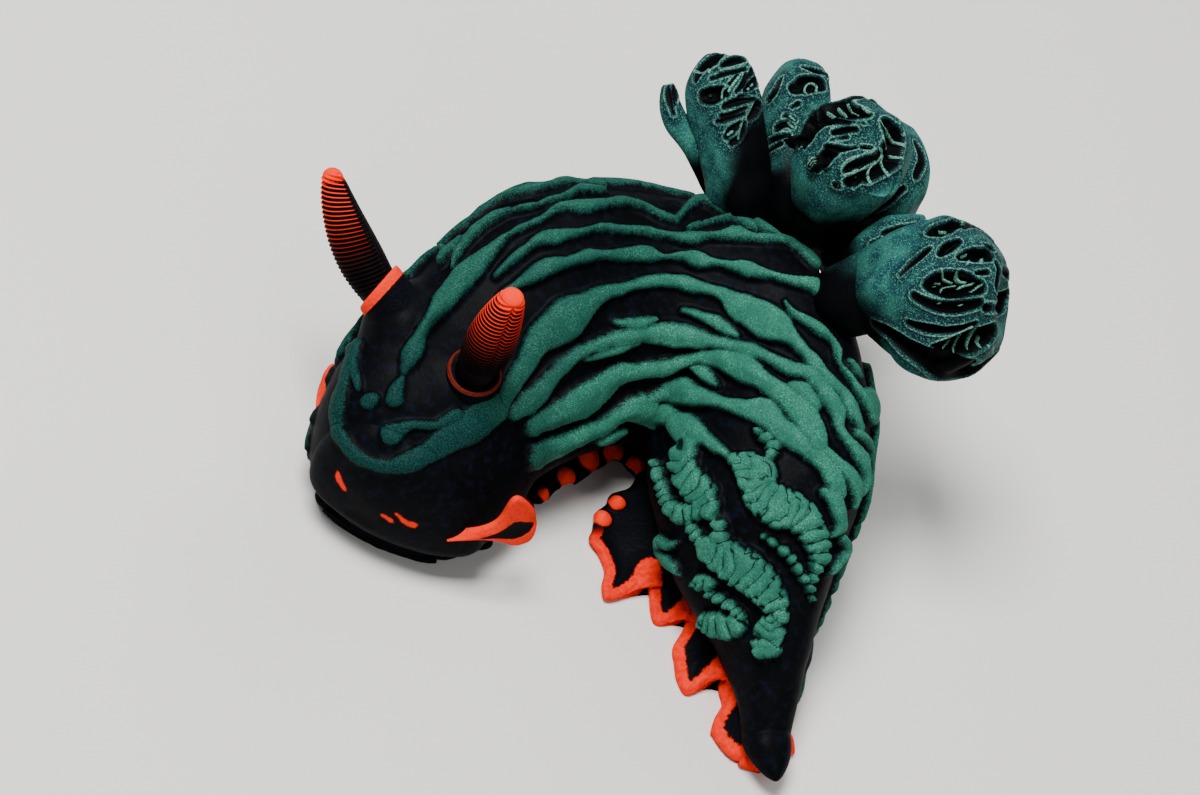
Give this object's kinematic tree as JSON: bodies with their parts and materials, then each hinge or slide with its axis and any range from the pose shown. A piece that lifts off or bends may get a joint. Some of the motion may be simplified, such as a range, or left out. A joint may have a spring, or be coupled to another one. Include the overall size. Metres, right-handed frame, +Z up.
{
  "type": "variable neon slug",
  "caption": "Life-size still model of a ridged sea slug curled to its left on a flat foot, with lamellate rhinophores raised and plumed gills spread.",
  "frame": {"origin": "on the flat sole, under the midline at the middle of the body", "axes": "+Z up from the sole; -Y towards the viewer, where the head and the tail both point; +X towards the tail's side"},
  "size_m": [0.057, 0.0531, 0.0371],
  "materials": {
    "skin": "moist near-black skin with raised blue-green ridges",
    "foot": "black foot with a bright orange scalloped margin",
    "rhinophore": "orange plates over a black club, satin",
    "tentacle": "orange flap with a black groove, satin",
    "gill": "translucent green plumes with black hollows and pale ribs"
  },
  "bodies": {
    "root": {"head": "skin", "front_body": "skin", "middle_body": "skin", "rear_body": "skin", "tail": "skin", "foot_front": "foot", "foot_middle": "foot", "foot_rear": "foot", "rhinophore_left": "rhinophore", "rhinophore_right": "rhinophore", "oral_tentacle_left": "tentacle", "oral_tentacle_right": "tentacle", "gill_plume_1": "gill", "gill_plume_2": "gill", "gill_plume_3": "gill", "gill_plume_4": "gill", "gill_plume_5": "gill"}
  },
  "joints": []
}
